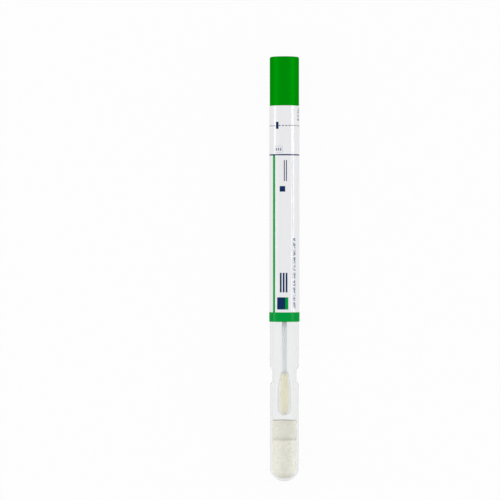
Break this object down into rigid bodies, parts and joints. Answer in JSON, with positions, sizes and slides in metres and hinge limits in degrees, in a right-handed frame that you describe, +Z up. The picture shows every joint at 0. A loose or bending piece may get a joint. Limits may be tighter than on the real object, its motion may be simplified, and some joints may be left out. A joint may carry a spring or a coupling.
{
  "type": "specimen swab tube",
  "caption": "Slim clear tube with a round base and a narrowed neck, soaked foam plugs, a wrap-round label, and a push-in cap that carries a fibre-tipped swab.",
  "frame": {"origin": "on the surface the tube lies on, under the middle of its length", "axes": "+Y along the tube towards the cap, +Z up, +X to the right when the cap is at the top of the view"},
  "size_m": [0.0124, 0.174, 0.0124],
  "materials": {
    "clear_plastic": "clear, faintly frosted moulding",
    "green_plastic": "smooth satin moulding",
    "stick_plastic": "smooth drawn plastic",
    "fibre": "wound fibre",
    "foam": "fine open-cell foam, soaked",
    "label_film": "coated label stock"
  },
  "bodies": {
    "tube_body": {"tube": "clear_plastic", "upper_foam": "foam", "lower_foam": "foam", "label": "label_film"},
    "swab_body": {"cap": "green_plastic", "shaft": "stick_plastic", "bud": "fibre", "seal_strip": "label_film"}
  },
  "joints": [
    {"name": "cap_pull", "type": "slide", "parent": "tube_body", "child": "swab_body", "axis": [0, 1, 0], "range_m": [0, 0.125]}
  ]
}
